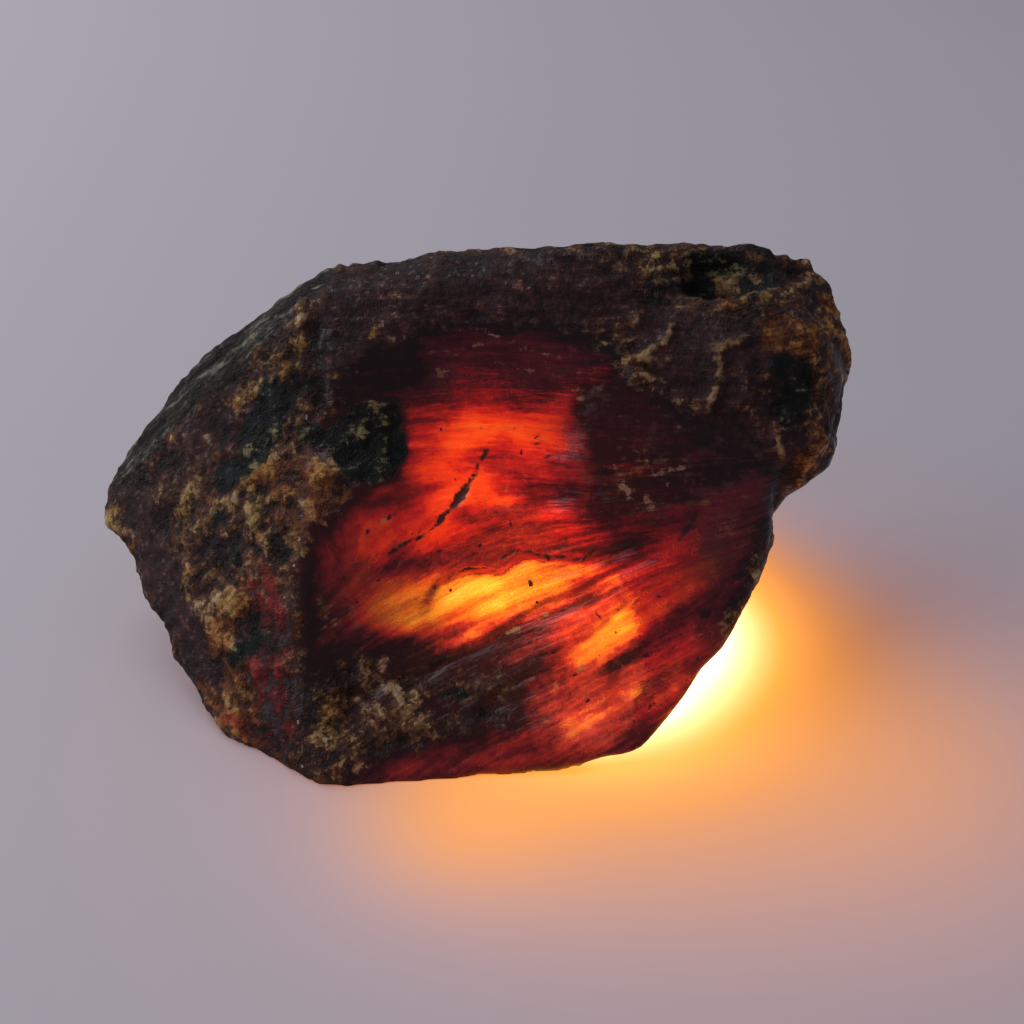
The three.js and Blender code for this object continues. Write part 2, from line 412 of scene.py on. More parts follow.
# Lips where one break steps down to the next: points (x, z) from left to right, and the drop below them.
LIPS = [
    (((-3.9, 10.6), (-2.7, 11.9), (-0.3, 12.7), (2.5, 12.7), (4.3, 13.9), (9.6, 13.8), (14, 14.8)), 0.7),
    (((-12, 5.4), (-5.3, 6.1), (-0.6, 7.3), (2.5, 8.8), (6.8, 11.1), (11.1, 12.6), (16, 14.4)), 0.6),
    (((1, 4.6), (7.7, 7.3), (11.2, 9.6), (14.8, 11.7), (19.2, 13.5)), 0.45),
    (((9, 20.2), (13.5, 19), (20, 18.4)), 0.15),
]

# The hollow in the top of the blunt end.
PIT = (23.4, 11.4, 32.2)
PIT_SIZE = (4.8, 2.8, 4)

# How far the edges of each feature fade. The patches have ragged edges, and the narrow marks hold their line.
PATCHES = {
    "thin": (THIN, 1.6),
    "dark": (DARK, 0.6),
    "film": (FILM_AND_SHADE, 1.8),
    "plum": (PLUM, 1.4),
    "ochre": (OCHRE, 0.9),
    "russet": (RUSSET, 1.2),
}
NARROW_MARKS = {
    "arris": ([(ARRIS, 0.3)], 0.9),
    "rib": (RIBS, 0.6),
    "crack": (CRACKS_AND_SHADE_LINES, 0.8),
    "scratch": (SCRATCHES, 0.7),
}
CRUST_FADE = 2.2

# How pale the resin is, from 0 to 1, with its painted light and shade: how far the edges of each listed
# place fade, and what it adds.
LEAST_PALE = 0.08
PAINTED_LIGHT_AND_SHADE = [(LIT_RED, 2.4, 0.24), (LIT_ORANGE, 1.6, 0.26), (LIT_CRIMSON, 2.4, 0.21), (LIT_YELLOW, 0.8, 0.20),
         (SHADED, 1.1, -0.2)]
FAR_PALE = 0.6
FAR_SHADE = 0.2  # how much less pale the far side is towards the blunt end
UNDERSIDE_PALE = 0.8


def stroke_distance(u, v, points, half_width):
    """Distance in the front's own map from a stroke, negative inside it."""
    best = np.full(len(u), np.inf)
    pts = [(x, z * FRONT_LEAN) for x, z in points]
    for (ax, az), (bx, bz) in zip(pts, pts[1:] or pts):
        dx, dz = bx - ax, bz - az
        length2 = dx * dx + dz * dz
        t = np.clip(((u - ax) * dx + (v - az) * dz) / length2, 0, 1) if length2 else 0
        best = np.minimum(best, np.hypot(u - ax - t * dx, v - az - t * dz))
    return best - half_width


def cover(u, v, strokes, fade):
    """How much a set of strokes covers each point, from 0 to 1."""
    total = np.zeros(len(u))
    for points, half_width in strokes:
        d = stroke_distance(u, v, points, half_width)
        total = np.maximum(total, 1 - ramp(-fade, fade, d))
    return total


def step_beside(u, v, points):
    """1 just below a lip, fading to 0 further down, and 0 above it."""
    d = stroke_distance(u, v, points, 0)
    xs = np.array([x for x, _ in points])
    zs = np.array([z * FRONT_LEAN for _, z in points])
    below = np.interp(u, xs, zs) - v
    ends = ramp(xs[0] - 1, xs[0] + 1.5, u) * (1 - ramp(xs[-1] - 1.5, xs[-1] + 1, u))
    return ramp(-0.12, 0.12, below) * np.exp(-d / LIP_REACH) * ends


# ---------------------------------------------------------------------------------------------------------
# The stone's mesh.

def remeshed_copy(node):
    """A new object with the node's mesh, as an even net of small faces."""
    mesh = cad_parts[node].data.copy()
    stone = bpy.data.objects.new("amber_stone", mesh)
    bpy.context.scene.collection.objects.link(stone)
    modifier = stone.modifiers.new("net", "REMESH")
    modifier.mode = "VOXEL"
    modifier.voxel_size = VOXEL * MM
    graph = bpy.context.evaluated_depsgraph_get()
    even = bpy.data.meshes.new_from_object(stone.evaluated_get(graph))
    stone.modifiers.clear()
    stone.data = even
    return stone


def coordinates(mesh):
    """The mesh's points, in millimetres."""
    flat = np.empty(len(mesh.vertices) * 3)
    mesh.vertices.foreach_get("co", flat)
    return flat.reshape(-1, 3) / MM


def normals(mesh):
    """Which way is outwards at each point of the mesh."""
    flat = np.empty(len(mesh.vertices) * 3)
    mesh.vertices.foreach_get("normal", flat)
    return flat.reshape(-1, 3)


def set_coordinates(mesh, points):
    mesh.vertices.foreach_set("co", (points * MM).ravel())
    mesh.update()


def smoothed(mesh, points, rounds):
    """The points, each drawn halfway to the mean of its neighbours, rounds times over."""
    edges = np.empty(len(mesh.edges) * 2, dtype=np.int64)
    mesh.edges.foreach_get("vertices", edges)
    a, b = edges.reshape(-1, 2).T
    count = np.bincount(a, minlength=len(points)) + np.bincount(b, minlength=len(points))
    for _ in range(rounds):
        total = np.zeros_like(points)
        for axis in range(3):
            total[:, axis] = np.bincount(a, points[b, axis], len(points))
            total[:, axis] += np.bincount(b, points[a, axis], len(points))
        points = 0.5 * points + 0.5 * total / count[:, None]
    return points


def set_attribute(mesh, name, values):
    layer = mesh.attributes.new(name, "FLOAT", "POINT")
    layer.data.foreach_set("value", np.ascontiguousarray(values, dtype=np.float32))


class Surface:
    """The smoothed stone's points, and where the front's own map puts them."""

    def __init__(self, points, outward):
        self.points, self.outward = points, outward
        self.x, self.y, self.z = points.T
        self.fray_x = FRAY * fractal(points, FRAY_SIZE, 4, seed=1, gain=0.6)
        self.fray_z = FRAY * fractal(points, FRAY_SIZE, 4, seed=2, gain=0.6)
        self.ragged = self.front_map(1)
        self.exact = self.front_map(NARROW_FRAY)
        self.front = ramp(0.05, -0.25, outward[:, 1])
        self.foot = 1 - ramp(0.1, 0.9, self.z)

    def front_map(self, fray):
        return self.x + fray * self.fray_x, self.z * FRONT_LEAN + fray * self.fray_z


def past_arris(at):
    """How far to the right of the arris each point of the front is."""
    arris_x, arris_z = np.array(ARRIS)[::-1].T
    return at.x + NARROW_FRAY * at.fray_x - np.interp(at.z, arris_z, arris_x)


def bevel_mask(at):
    """The long bevel at the upper left."""
    bevel_x, bevel_z = np.array(BEVEL_EDGE).T
    above = at.z + BEVEL_FRAY * at.fray_z - np.interp(at.x, bevel_x, bevel_z)
    return ramp(-0.8, 0.8, above) * (1 - ramp(-14, -12, at.x))


def pit_distance(at):
    """Distance from the middle of the pit, in sizes of the pit."""
    return np.linalg.norm((at.points - PIT) / PIT_SIZE, axis=1)


def far_crust(at, underside):
    """Crust on the far side, with a few worn, clear places, and a clear break under it."""
    past_tip = ramp(-25, -20, at.x + 2 * fractal(at.points, 5, 2, seed=10))
    worn = ramp(0.05, 0.45, fractal(at.points, 13, 3, seed=5)) * (1 - ramp(18, 24, at.z)) * past_tip
    low = (1 - ramp(12, 16, at.z + 3 * fractal(at.points, 6, 2, seed=6))) * past_tip
    right_flank = ramp(16, 23, at.x + 3 * fractal(at.points, 5, 2, seed=16))
    return np.maximum(1 - np.maximum.reduce([low, 0.6 * worn, underside]), 0.75 * right_flank)


def surface_marks(at):
    """What lies on the stone's surface, by name, each from 0 to 1."""
    marks = {name: at.front * cover(*at.ragged, *patch) for name, patch in PATCHES.items()}
    marks |= {name: at.front * cover(*at.exact, *mark) for name, mark in NARROW_MARKS.items()}
    left_side = 1 - ramp(-0.9, 1.5, past_arris(at))
    marks["clear"] = at.front * (1 - left_side)
    marks["bevel"] = bevel_mask(at)

    dark_pit = (1 - ramp(0.8, 1.4, pit_distance(at))) * ramp(-0.6, 0.2, fractal(at.points, 2.4, 3, seed=9))
    marks["dark"] = np.maximum(marks["dark"], dark_pit)

    underside = ramp(0.6, 0.85, -at.outward[:, 2])
    top_rim = ramp(-0.55, -0.35, at.outward[:, 1]) * ramp(17, 20, at.z)
    left_crust = left_side * (1 - 0.3 * marks["thin"])
    front_crust = np.maximum.reduce([left_crust, cover(*at.ragged, CRUST, CRUST_FADE), top_rim])
    crust = at.front * front_crust + (1 - at.front) * far_crust(at, underside)
    marks["crust"] = np.clip(np.maximum.reduce([crust, marks["dark"], 0.8 * marks["rib"]]), 0, 1)

    far_dark = ramp(0.25, 0.4, fractal(at.points, 7, 3, seed=7)) * marks["crust"]
    far_ochre = ramp(0.2, 0.4, fractal(at.points, 4, 3, seed=8))
    marks["dark"] = np.maximum(marks["dark"], (1 - at.front) * far_dark)
    marks["ochre"] = np.maximum(marks["ochre"], (1 - at.front) * far_ochre)

    # The listed places paint light into the resin where it is lit, and paint shade where it is shaded.
    lit = LEAST_PALE + sum(added * cover(*at.ragged, strokes, fade) for strokes, fade, added in PAINTED_LIGHT_AND_SHADE)
    far_pale = FAR_PALE - FAR_SHADE * ramp(6, 16, at.x)
    tint_and_painted_light = np.clip(at.front * lit + (1 - at.front) * far_pale, 0, 1)
    marks["tint_and_painted_light"] = np.maximum(tint_and_painted_light, UNDERSIDE_PALE * underside * at.foot)
    return marks


def along_flutes(at):
    """Coordinates stretched along the flutes of the break."""
    height = at.z * FRONT_LEAN
    climb = FLUTE_CLIMB * ramp(FLUTES_LEVEL_ABOVE, FLUTES_CLIMB_BELOW, height)
    across = height - climb * (at.x - FLUTE_PIVOT)
    return np.stack([(at.x + 0.5 * at.z) / FLUTE_STRETCH, across, at.y / FLUTE_STRETCH], axis=1)


def along_bevel(at):
    """Coordinates stretched down the bevel's slope."""
    return np.stack([(at.x + at.z) / BEVEL_STRETCH, at.z - at.x, 1.6 * at.y], axis=1)


def crust_roughness(at, marks, chips):
    """Height of the crust's grains and chips."""
    coarse = ramp(-0.25, 0.25, fractal(at.points, 5, 2, seed=15))
    height = (0.15 + 0.5 * coarse) * (0.55 - grains(at.points, 1.7, seed=11))
    height += 0.2 * coarse * (0.5 - grains(at.points, 0.85, seed=12))
    height += CHIPS * (chips - 0.5)
    return height * (1 - 0.6 * np.maximum(marks["plum"], marks["bevel"]))


def relief(at, marks, flow, streak, roughness, chips):
    """How far each point stands out from the smoothed surface."""
    flutes = FLUTES * fractal(flow, 2.2, 3, seed=31) + FINE_FLUTES * fractal(flow, 0.8, 2, seed=32)
    low_on_break = 0.35 + 0.65 * ramp(20, 12, at.z)
    blunt_end = ramp(22, 30, at.x) * ramp(8, 14, at.z)

    height = SWELL * fractal(at.points, 7, 3, seed=21)
    height += ramp(0.3, 0.8, marks["crust"]) * roughness
    height += at.front * (1 - marks["crust"]) * low_on_break * flutes
    height += marks["plum"] * RIPPLE * fractal(flow * (1, 1.6, 1), 1.1, 2, seed=33)
    height += marks["bevel"] * (BEVEL_STREAKS * streak + BEVEL_CHIPS * (chips - 0.5))
    height += RIB * marks["rib"]
    height -= CRACK * ramp(0.4, 1, marks["crack"])
    height -= PIT_DEPTH * (1 - ramp(0.5, 1.1, pit_distance(at)))
    for lip, drop in LIPS:
        height -= at.front * drop * step_beside(*at.exact, lip)
    height += KNOBS * blunt_end * (0.55 - grains(at.points, 4.6, seed=13))
    return (1 - at.foot) * height


def shape_stone(stone):
    """Gives the stone its relief, and notes what the material needs to know of each point."""
    mesh = stone.data
    points = smoothed(mesh, coordinates(mesh), SMOOTHING_ROUNDS)
    points[:, 2] = np.where(points[:, 2] < SET_DOWN, 0, points[:, 2])
    set_coordinates(mesh, points)
    at = Surface(points, normals(mesh))

    marks = surface_marks(at)
    flow = along_flutes(at)
    streak = fractal(along_bevel(at), 1.6, 3, seed=61, gain=0.8)
    chips = ridged(points * (1, 1, 1.3) + at.fray_x[:, None], 5.5, 3, seed=14)
    roughness = crust_roughness(at, marks, chips)
    points = points + relief(at, marks, flow, streak, roughness, chips)[:, None] * at.outward
    points[:, 2] = np.maximum(points[:, 2], 0)
    set_coordinates(mesh, points)

    marks["height"] = 0.5 + roughness
    marks["streak"] = 0.5 + streak
    for name, values in marks.items():
        set_attribute(mesh, name, values)
    flow = np.where(marks["bevel"][:, None] > 0.5, along_bevel(at), flow)
    layer = mesh.attributes.new("flow", "FLOAT_VECTOR", "POINT")
    layer.data.foreach_set("vector", (flow * MM).astype(np.float32).ravel())
    mesh.shade_smooth()


def between(limits, share):
    """The number that lies share of the way from the first limit to the second."""
    low, high = limits
    return low + (high - low) * share


def sealed_flecks(stone):
    """Dark flakes caught in the clear resin just behind the glassy break, as one joined mesh."""
    mesh = stone.data
    clear, tint_and_painted_light, crust = (np.empty(len(mesh.vertices)) for _ in range(3))
    for name, values in (("clear", clear), ("tint_and_painted_light", tint_and_painted_light), ("crust", crust)):
        mesh.attributes[name].data.foreach_get("value", values)
    surface = coordinates(mesh)
    places = np.flatnonzero((clear > 0.9) & (tint_and_painted_light > 0.25) & (crust < 0.1) & (surface[:, 2] > LOWEST_FLECK))
    surface, outward = surface[places], normals(mesh)[places]

    ball = bmesh.new()
    bmesh.ops.create_icosphere(ball, subdivisions=2, radius=1)
    round_points = np.array([vertex.co for vertex in ball.verts])
    round_faces = np.array([[vertex.index for vertex in face.verts] for face in ball.faces])
    ball.free()

    points, faces = [], []
    for k in range(FLECKS):
        place, deep, long, tilt, wide = (hashed(np.array([[k, column, 0]]), 71)[0] for column in range(5))
        at = int(place * len(places))
        half_length = between(FLECK_HALF_LENGTH, long ** 3)
        along = np.cross(outward[at], (between((-0.4, 0.1), tilt), -0.6, 0.7))
        along /= np.linalg.norm(along)
        turned = np.stack([along, np.cross(outward[at], along), outward[at]])
        size = half_length * np.array([1.0, between((0.25, 0.6), wide), FLECK_THICKNESS])
        uneven = 1 + FLECK_UNEVENNESS * noise(round_points + 9.0 * k, 0.8, seed=72)
        middle = surface[at] - between(FLECK_DEPTH, deep) * outward[at]
        points.append(middle + (round_points * size * uneven[:, None]) @ turned)
        faces.append(round_faces + k * len(round_points))
    flecks = bpy.data.meshes.new("sealed_flecks")
    flecks.from_pydata((np.concatenate(points) * MM).tolist(), [], np.concatenate(faces).tolist())
    flecks.materials.append(fleck_material())
    piece = bpy.data.objects.new("sealed_flecks", flecks)
    bpy.context.scene.collection.objects.link(piece)
    return piece


# ---------------------------------------------------------------------------------------------------------
# Materials. A palette runs from its darkest tone to its palest one: (where along the tone, colour).

BROWN_CRUST = [(0.32, (0.005, 0.001, 0.001)), (0.45, (0.030, 0.009, 0.007)), (0.53, (0.065, 0.023, 0.012)),
               (0.60, (0.14, 0.058, 0.020)), (0.67, (0.30, 0.175, 0.075)), (0.80, (0.52, 0.40, 0.24))]
PLUM_SKIN = [(0.32, (0.008, 0.002, 0.003)), (0.52, (0.036, 0.009, 0.011)), (0.64, (0.064, 0.023, 0.021)),
             (0.76, (0.30, 0.19, 0.13))]
# The bevel's streaked skin, its grey partly a painted sheen of the sky.
GREY_STREAKS_AND_SHEEN = [(0.3, (0.005, 0.006, 0.005)), (0.5, (0.020, 0.022, 0.018)), (0.62, (0.060, 0.062, 0.052)),
                (0.78, (0.22, 0.21, 0.17))]
RUSSET_CRUST = [(0.35, (0.03, 0.006, 0.003)), (0.54, (0.16, 0.045, 0.009)), (0.70, (0.45, 0.21, 0.05))]
RED_SKIN = [(0.35, (0.03, 0.001, 0.003)), (0.52, (0.16, 0.005, 0.008)), (0.70, (0.32, 0.030, 0.018))]
MUSTARD = [(0.38, (0.04, 0.018, 0.004)), (0.54, (0.24, 0.13, 0.025)), (0.70, (0.46, 0.33, 0.13))]
TAWNY = [(0.38, (0.04, 0.012, 0.004)), (0.54, (0.22, 0.085, 0.018)), (0.70, (0.44, 0.26, 0.10))]
PALE_RIBS = [(0.38, (0.08, 0.036, 0.016)), (0.62, (0.36, 0.22, 0.10))]
BLACK_GREEN = [(0.47, (0.002, 0.003, 0.003)), (0.58, (0.008, 0.010, 0.007)), (0.63, (0.045, 0.042, 0.018)),
               (0.72, (0.22, 0.18, 0.08))]
RESIN = [(0.0, (0.014, 0.001, 0.003)), (0.18, (0.10, 0.002, 0.010)), (0.36, (0.40, 0.007, 0.030)),
         (0.52, (0.90, 0.11, 0.022)), (0.70, (1.0, 0.43, 0.05)), (0.95, (1.0, 0.92, 0.40))]
CHARRED = [(0.4, (0.006, 0.003, 0.003)), (0.65, (0.06, 0.022, 0.012))]
# Dark cracks, and painted shade under the lips of the steps.
CRACK_AND_SHADE_COLOUR = (0.020, 0.006, 0.008)
SCRATCH_COLOUR = (0.40, 0.22, 0.14)
# Pale specks along the arris, as painted glints.
ARRIS_GLINT_COLOUR = (0.42, 0.34, 0.30)

AMBER_IOR = 1.54
ABSORPTION_COLOUR = (0.90, 0.70, 0.24, 1)
ABSORPTION_DENSITY = 150

# The edges of the painted marks: the share of the ragged noise in them, and where a mark starts and is full.
EDGES = {
    "crust": (1.0, 0.38, 0.85),
    "dark": (0.7, 0.4, 0.65),
    "ochre": (1.8, 0.45, 1.0),
    "russet": (1.0, 0.3, 0.9),
    "rib": (0.9, 0.42, 0.9),
    "crack": (0.6, 0.46, 0.66),
    "thin": (1.2, 0.3, 1.0),
    "bevel": (1.0, 0.3, 1.0),
}
BEVEL_COVER = 0.85


class Nodes:
    """A short way to write the node tree of a material with one Principled shader."""

    def __init__(self, name):
        self.material = bpy.data.materials.new(name)
        self.material.use_nodes = True
        self.tree = self.material.node_tree
        self.tree.nodes.clear()
        self.place = self.add("ShaderNodeTexCoord").outputs["Object"]
        self.shader = self.add("ShaderNodeBsdfPrincipled")
        self.output = self.add("ShaderNodeOutputMaterial")
        self.join(self.shader.outputs["BSDF"], self.output.inputs["Surface"])

    def add(self, kind, **settings):
        node = self.tree.nodes.new(kind)
        for key, value in settings.items():
            setattr(node, key, value)
        return node

    def join(self, source, target):
        """Links a socket to the target, or sets the target to a plain value."""
        if isinstance(source, bpy.types.NodeSocket):
            self.tree.links.new(source, target)
        else:
            target.default_value = source

    def attribute(self, name):
        return self.add("ShaderNodeAttribute", attribute_name=name).outputs["Fac"]

    def noise(self, size, detail, roughness, place=None):
        node = self.add("ShaderNodeTexNoise")
        self.join(place or self.place, node.inputs["Vector"])
        node.inputs["Scale"].default_value = 1 / (size * MM)
        node.inputs["Detail"].default_value = detail
        node.inputs["Roughness"].default_value = roughness
        return node.outputs["Fac"]

    def cells(self, size):
        """Scattered grains, each with a number from 0 to 1 of its own."""
        node = self.add("ShaderNodeTexVoronoi")
        self.join(self.place, node.inputs["Vector"])
        node.inputs["Scale"].default_value = 1 / (size * MM)
        return node.outputs["Color"]

    def math(self, operation, a, b=0.0, clamp=False):
        node = self.add("ShaderNodeMath", operation=operation, use_clamp=clamp)
        self.join(a, node.inputs[0])
        self.join(b, node.inputs[1])
        return node.outputs[0]

    def times(self, a, b):
        return self.math("MULTIPLY", a, b)

    def total(self, *values):
        result = values[0]
        for value in values[1:]:
            result = self.math("ADD", result, value)
        return result

    def highest(self, *values):
        result = values[0]
        for value in values[1:]:
            result = self.math("MAXIMUM", result, value)
        return result

    def centred(self, value, reach):
        """A noise from 0 to 1 as one that swings to both sides of 0, over reach in all."""
        return self.times(self.math("SUBTRACT", value, 0.5), reach)

    def step(self, value, low, high, to_low=0.0, to_high=1.0):
        node = self.add("ShaderNodeMapRange", interpolation_type="SMOOTHSTEP")
        self.join(value, node.inputs["Value"])
        node.inputs["From Min"].default_value = low
        node.inputs["From Max"].default_value = high
        node.inputs["To Min"].default_value = to_low
        node.inputs["To Max"].default_value = to_high
        return node.outputs["Result"]

    def mix(self, share, a, b):
        """Colour a with a share of colour b."""
        node = self.add("ShaderNodeMix", data_type="RGBA")
        self.join(share, node.inputs["Factor"])
        self.join((*a, 1) if isinstance(a, tuple) else a, node.inputs["A"])
        self.join((*b, 1) if isinstance(b, tuple) else b, node.inputs["B"])
        return node.outputs["Result"]

    def blend(self, share, a, b):
        """Number a with a share of number b."""
        node = self.add("ShaderNodeMix", data_type="FLOAT")
        self.join(share, node.inputs["Factor"])
        self.join(a, node.inputs["A"])
        self.join(b, node.inputs["B"])
        return node.outputs["Result"]

    def colours(self, tone, palette):
        node = self.add("ShaderNodeValToRGB")
        self.join(tone, node.inputs["Fac"])
        stops = node.color_ramp.elements
        while len(stops) < len(palette):
            stops.new(0.5)
        for stop, (position, colour) in zip(stops, palette):
            stop.position = position
            stop.color = (*colour, 1)
        return node.outputs["Color"]

    def bump(self, height, depth, strength, under=None):
        node = self.add("ShaderNodeBump")
        self.join(height, node.inputs["Height"])
        self.join(strength, node.inputs["Strength"])
        node.inputs["Distance"].default_value = depth * MM
        if under is not None:
            self.join(under, node.inputs["Normal"])
        return node.outputs["Normal"]


def stone_textures(n):
    """The noises that the stone's colours share, from blotches down to single grains."""
    flow_place = n.add("ShaderNodeAttribute", attribute_name="flow").outputs["Vector"]
    return SimpleNamespace(
        blotch=n.noise(2.6, 4, 0.65),
        speckle=n.noise(0.7, 3, 0.75),
        flow=n.noise(1.3, 4, 0.65, flow_place),
        fine_flow=n.noise(0.45, 3, 0.6, flow_place),
        crumb=n.cells(0.75),
        grain=n.cells(0.38),
    )


def edged_marks(n, texture):
    """The painted marks with their fine edges: ragged ones, and strands along the flow of the break."""
    speckle = texture.speckle
    ragged = n.total(n.centred(texture.blotch, 0.8), n.centred(speckle, 1.1), n.centred(texture.crumb, 0.3))
    strands = n.centred(texture.fine_flow, 1.6)
    marks = {}
    for name, (share, low, high) in EDGES.items():
        marks[name] = n.step(n.total(n.attribute(name), n.times(ragged, share)), low, high)
    marks["bevel"] = n.times(marks["bevel"], BEVEL_COVER)
    film = n.total(n.attribute("film"), strands, n.times(ragged, 1.3))
    scratch = n.total(n.attribute("scratch"), strands, n.centred(speckle, 2.0))
    # The arris mark paints glints: pale specks along the edge.
    arris = n.total(n.attribute("arris"), n.centred(speckle, 1.6), n.centred(texture.grain, 1.2))
    marks["film"] = n.step(film, 0.78, 1.3)
    marks["scratch"] = n.step(scratch, 0.6, 1.0)
    marks["arris"] = n.step(arris, 1.1, 1.35)
    return SimpleNamespace(**marks)


def skin_tone(n, texture):
    """How pale the crust is, from its height and its grains."""
    height = n.total(n.attribute("height"), n.centred(texture.speckle, 0.7))
    strands = n.times(n.centred(texture.fine_flow, 0.45), n.attribute("clear"))
    return n.total(n.times(height, 0.46), n.times(texture.blotch, 0.42), n.times(texture.crumb, 0.17),
                   n.times(texture.grain, 0.19), -0.15, strands)


def skin_colour(n, texture, marks):
    """Brown crust, with each patch in its own palette."""
    tone = skin_tone(n, texture)
    streak = n.total(n.times(n.attribute("streak"), 0.5), texture.fine_flow, n.centred(texture.grain, 0.12),
                     n.centred(texture.speckle, 0.5), n.centred(texture.blotch, 0.4), -0.25)
    ochre = n.mix(n.step(texture.blotch, 0.45, 0.6), n.colours(tone, MUSTARD), n.colours(tone, TAWNY))
    layers = [
        (n.times(n.attribute("plum"), 0.9), n.colours(tone, PLUM_SKIN)),
        # The bevel's grey, partly painted sheen.
        (marks.bevel, n.colours(streak, GREY_STREAKS_AND_SHEEN)),
        (marks.russet, n.colours(tone, RUSSET_CRUST)),
        (marks.thin, n.colours(tone, RED_SKIN)),
        (marks.ochre, ochre),
        (marks.rib, n.colours(tone, PALE_RIBS)),
        (marks.dark, n.colours(tone, BLACK_GREEN)),
    ]
    skin = n.colours(tone, BROWN_CRUST)
    for share, colour in layers:
        skin = n.mix(share, skin, colour)
    return skin


def resin_tone(n, texture):
    """How pale the resin is, with its painted light and shade, and strands along the flow of the break."""
    return n.total(n.attribute("tint_and_painted_light"), n.centred(texture.flow, 0.7), n.centred(texture.fine_flow, 0.3),
                   n.centred(texture.blotch, 0.2), n.centred(texture.speckle, 0.25),
                   n.times(n.attribute("crust"), -0.45))


def amber_material():
    """Clear red-to-honey resin where the crust is broken away, matt brown crust elsewhere."""
    n = Nodes("amber")
    texture = stone_textures(n)
    marks = edged_marks(n, texture)
    tone = resin_tone(n, texture)
    clear = n.attribute("clear")
    # Films of crust cover the resin; the wide ones on the right of the break are painted shade.
    covered = n.highest(marks.crust, n.times(marks.film, 0.6), n.times(marks.crack, 0.8),
                        n.times(marks.scratch, 0.5))

    colour = n.mix(covered, n.colours(tone, RESIN), skin_colour(n, texture, marks))
    # Dark cracks, and painted shade lines along the lips of the steps.
    colour = n.mix(marks.crack, colour, CRACK_AND_SHADE_COLOUR)
    colour = n.mix(n.times(marks.scratch, 0.8), colour, SCRATCH_COLOUR)
    # Painted glints along the arris.
    colour = n.mix(marks.arris, colour, ARRIS_GLINT_COLOUR)
    n.join(colour, n.shader.inputs["Base Color"])

    # The darkest resin of the break is partly opaque, so that it shows wine-red and not black.
    wine = n.step(tone, 0.0, 0.45, 0.75, 0.0)
    see_through = n.math("SUBTRACT", 0.97, n.times(wine, clear))
    bare = n.math("SUBTRACT", 1.0, covered)
    n.join(n.times(bare, see_through), n.shader.inputs["Transmission Weight"])

    gloss = n.blend(clear, 0.55, n.step(texture.speckle, 0.3, 0.7, 0.12, 0.30))
    matt = n.blend(marks.bevel, n.step(texture.grain, 0.70, 0.85, 0.72, 0.28), 0.9)
    n.join(n.blend(covered, gloss, matt), n.shader.inputs["Roughness"])
    n.shader.inputs["IOR"].default_value = AMBER_IOR
    n.shader.inputs["Specular IOR Level"].default_value = 0.25

    waves = n.bump(texture.flow, 0.3, 0.6)
    smooth = n.highest(n.attribute("plum"), n.step(texture.blotch, 0.42, 0.62))
    coarse = n.times(marks.crust, n.blend(smooth, 1.0, 0.35))
    n.join(n.bump(texture.speckle, 0.9, coarse, under=waves), n.shader.inputs["Normal"])

    absorb = n.add("ShaderNodeVolumeAbsorption")
    absorb.inputs["Color"].default_value = ABSORPTION_COLOUR
    absorb.inputs["Density"].default_value = ABSORPTION_DENSITY
    n.join(absorb.outputs["Volume"], n.output.inputs["Volume"])
    return n.material


def fleck_material():
    """Charred-looking bits of bark and soil."""
    n = Nodes("fleck")
    n.join(n.colours(n.noise(0.2, 2, 0.55), CHARRED), n.shader.inputs["Base Color"])
    n.shader.inputs["Roughness"].default_value = 0.7
    return n.material


# ---------------------------------------------------------------------------------------------------------
# Staging. Places and sizes of lights, floor and camera are in metres.

# The floor's warm glow, as soft pools: (x, y, reach, strength), the first three in millimetres.
POOLS = [
    (2, 4, 8, 7.0),
    (11, 3, 15, 4.2),
    (15, 1, 7, 4.0),
    (12, -9, 9, 1.4),
    (10, -13.5, 3, 3.0),
    (15, -9.5, 3, 2.5),
    (2, 29, 11, 1.6),
    (10, -22, 16, 0.28),
    (-1, -27, 9, 0.3),
    (34, -18, 20, 0.3),
    (16, -10, 40, 0.16),
]
FULL_GLOW = 3.0  # the strength at which the light has its palest colour
GLOW = [(0.0, (1.0, 0.22, 0.10)), (0.10, (1.0, 0.29, 0.06)), (0.4, (1.0, 0.36, 0.04)),
        (1.0, (1.0, 0.80, 0.40))]
PALE_STONE = (0.54, 0.505, 0.555)
# The floor's colour under the glow, a painted pool of light.
GLOW_PAINTED_STONE = (0.68, 0.37, 0.15)

FLOOR_HALF = 1.5
FLOOR_DROP = 0.00005  # keeps the floor clear of the resting face
LIT_POINT = (0, 0, 0.015)
DAYLIGHT_COLOUR = (0.90, 0.88, 1.0, 1)
DAYLIGHT = 0.22
# Place, width, power in watts and colour.
LAMPS = {
    "sky_window": ((-0.40, 0.30, 0.50), 0.9, 3.2, (0.93, 0.96, 1.0)),
    "front_fill": ((-0.50, -0.14, 0.28), 0.4, 0.55, (1.0, 0.95, 0.90)),
}
CAMERA_PLACE = (0.0036, -0.1247, 0.0858)
CAMERA_TILT = 60  # degrees up from straight down
LENS = 55  # millimetres, as is the sensor
SENSOR_WIDTH = 36
NEAREST_SEEN = 0.01


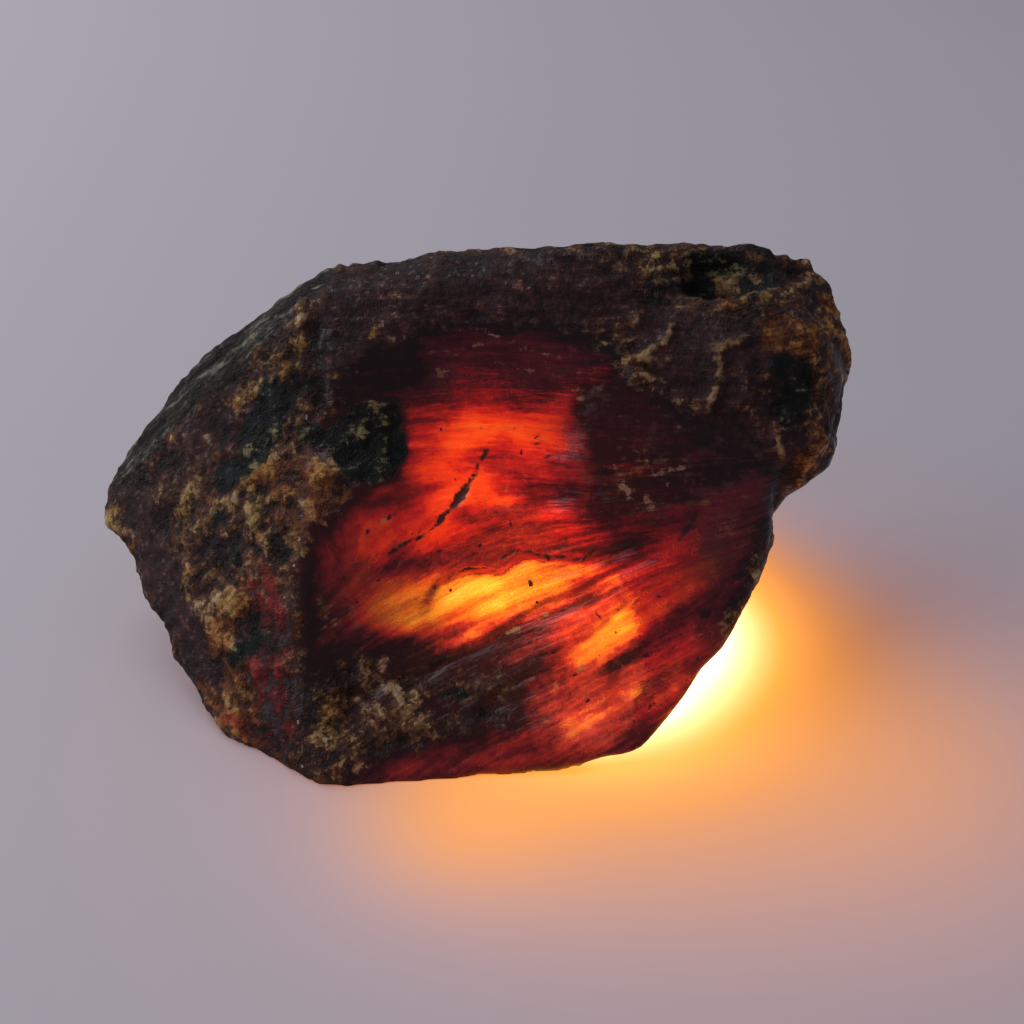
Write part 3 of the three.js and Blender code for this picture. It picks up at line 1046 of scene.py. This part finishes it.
def floor_material():
    """Pale stone that glows in soft, warm pools as if lit from below, its colour painted warm under them."""
    n = Nodes("pale_floor")
    n.shader.inputs["Roughness"].default_value = 0.6
    light = 0.0
    for x, y, reach, strength in POOLS:
        offset = n.add("ShaderNodeVectorMath", operation="DISTANCE")
        n.join(n.place, offset.inputs[0])
        offset.inputs[1].default_value = (x * MM, y * MM, 0)
        away = n.math("DIVIDE", offset.outputs["Value"], reach * MM)
        fall = n.math("EXPONENT", n.times(n.times(away, away), -1.0))
        light = n.total(n.times(fall, strength), light)
    warmth = n.math("DIVIDE", light, FULL_GLOW, clamp=True)
    n.join(n.colours(warmth, GLOW), n.shader.inputs["Emission Color"])
    n.join(light, n.shader.inputs["Emission Strength"])
    # Painted light: the floor's own colour turns warm under the pools of glow.
    n.join(n.mix(n.step(warmth, 0.02, 0.25), PALE_STONE, GLOW_PAINTED_STONE), n.shader.inputs["Base Color"])
    return n.material


def add_floor():
    mesh = bpy.data.meshes.new("floor")
    corners = [(-FLOOR_HALF, -FLOOR_HALF, 0), (FLOOR_HALF, -FLOOR_HALF, 0), (FLOOR_HALF, FLOOR_HALF, 0),
               (-FLOOR_HALF, FLOOR_HALF, 0)]
    mesh.from_pydata(corners, [], [(0, 1, 2, 3)])
    material = floor_material()
    material.cycles.emission_sampling = "NONE"  # the rays that leave the stone find the glow by themselves
    mesh.materials.append(material)
    floor = bpy.data.objects.new("floor", mesh)
    floor.location.z = -FLOOR_DROP
    bpy.context.scene.collection.objects.link(floor)


def add_daylight():
    world = bpy.data.worlds.new("soft_daylight")
    world.use_nodes = True
    background = world.node_tree.nodes["Background"]
    background.inputs["Color"].default_value = DAYLIGHT_COLOUR
    background.inputs["Strength"].default_value = DAYLIGHT
    bpy.context.scene.world = world


def add_lamp(name, place, width, power, colour):
    data = bpy.data.lights.new(name, "AREA")
    data.shape = "DISK"
    data.size = width
    data.energy = power
    data.color = colour
    lamp = bpy.data.objects.new(name, data)
    lamp.location = place
    lamp.rotation_euler = (Vector(LIT_POINT) - Vector(place)).to_track_quat("-Z", "Y").to_euler()
    bpy.context.scene.collection.objects.link(lamp)


def add_camera():
    data = bpy.data.cameras.new("camera")
    data.lens = LENS
    data.sensor_width = SENSOR_WIDTH
    data.clip_start = NEAREST_SEEN
    camera = bpy.data.objects.new("camera", data)
    camera.location = CAMERA_PLACE
    camera.rotation_euler = (math.radians(CAMERA_TILT), 0, 0)
    bpy.context.scene.collection.objects.link(camera)
    bpy.context.scene.camera = camera


add_camera()
add_floor()
add_daylight()
for name, lamp in LAMPS.items():
    add_lamp(name, *lamp)

stone = remeshed_copy(NODE)
shape_stone(stone)
stone.data.materials.clear()
stone.data.materials.append(amber_material())
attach(stone, "root")
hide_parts(NODE)

flecks = sealed_flecks(stone)
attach(flecks, "root")

bpy.context.scene.view_settings.view_transform = "Standard"
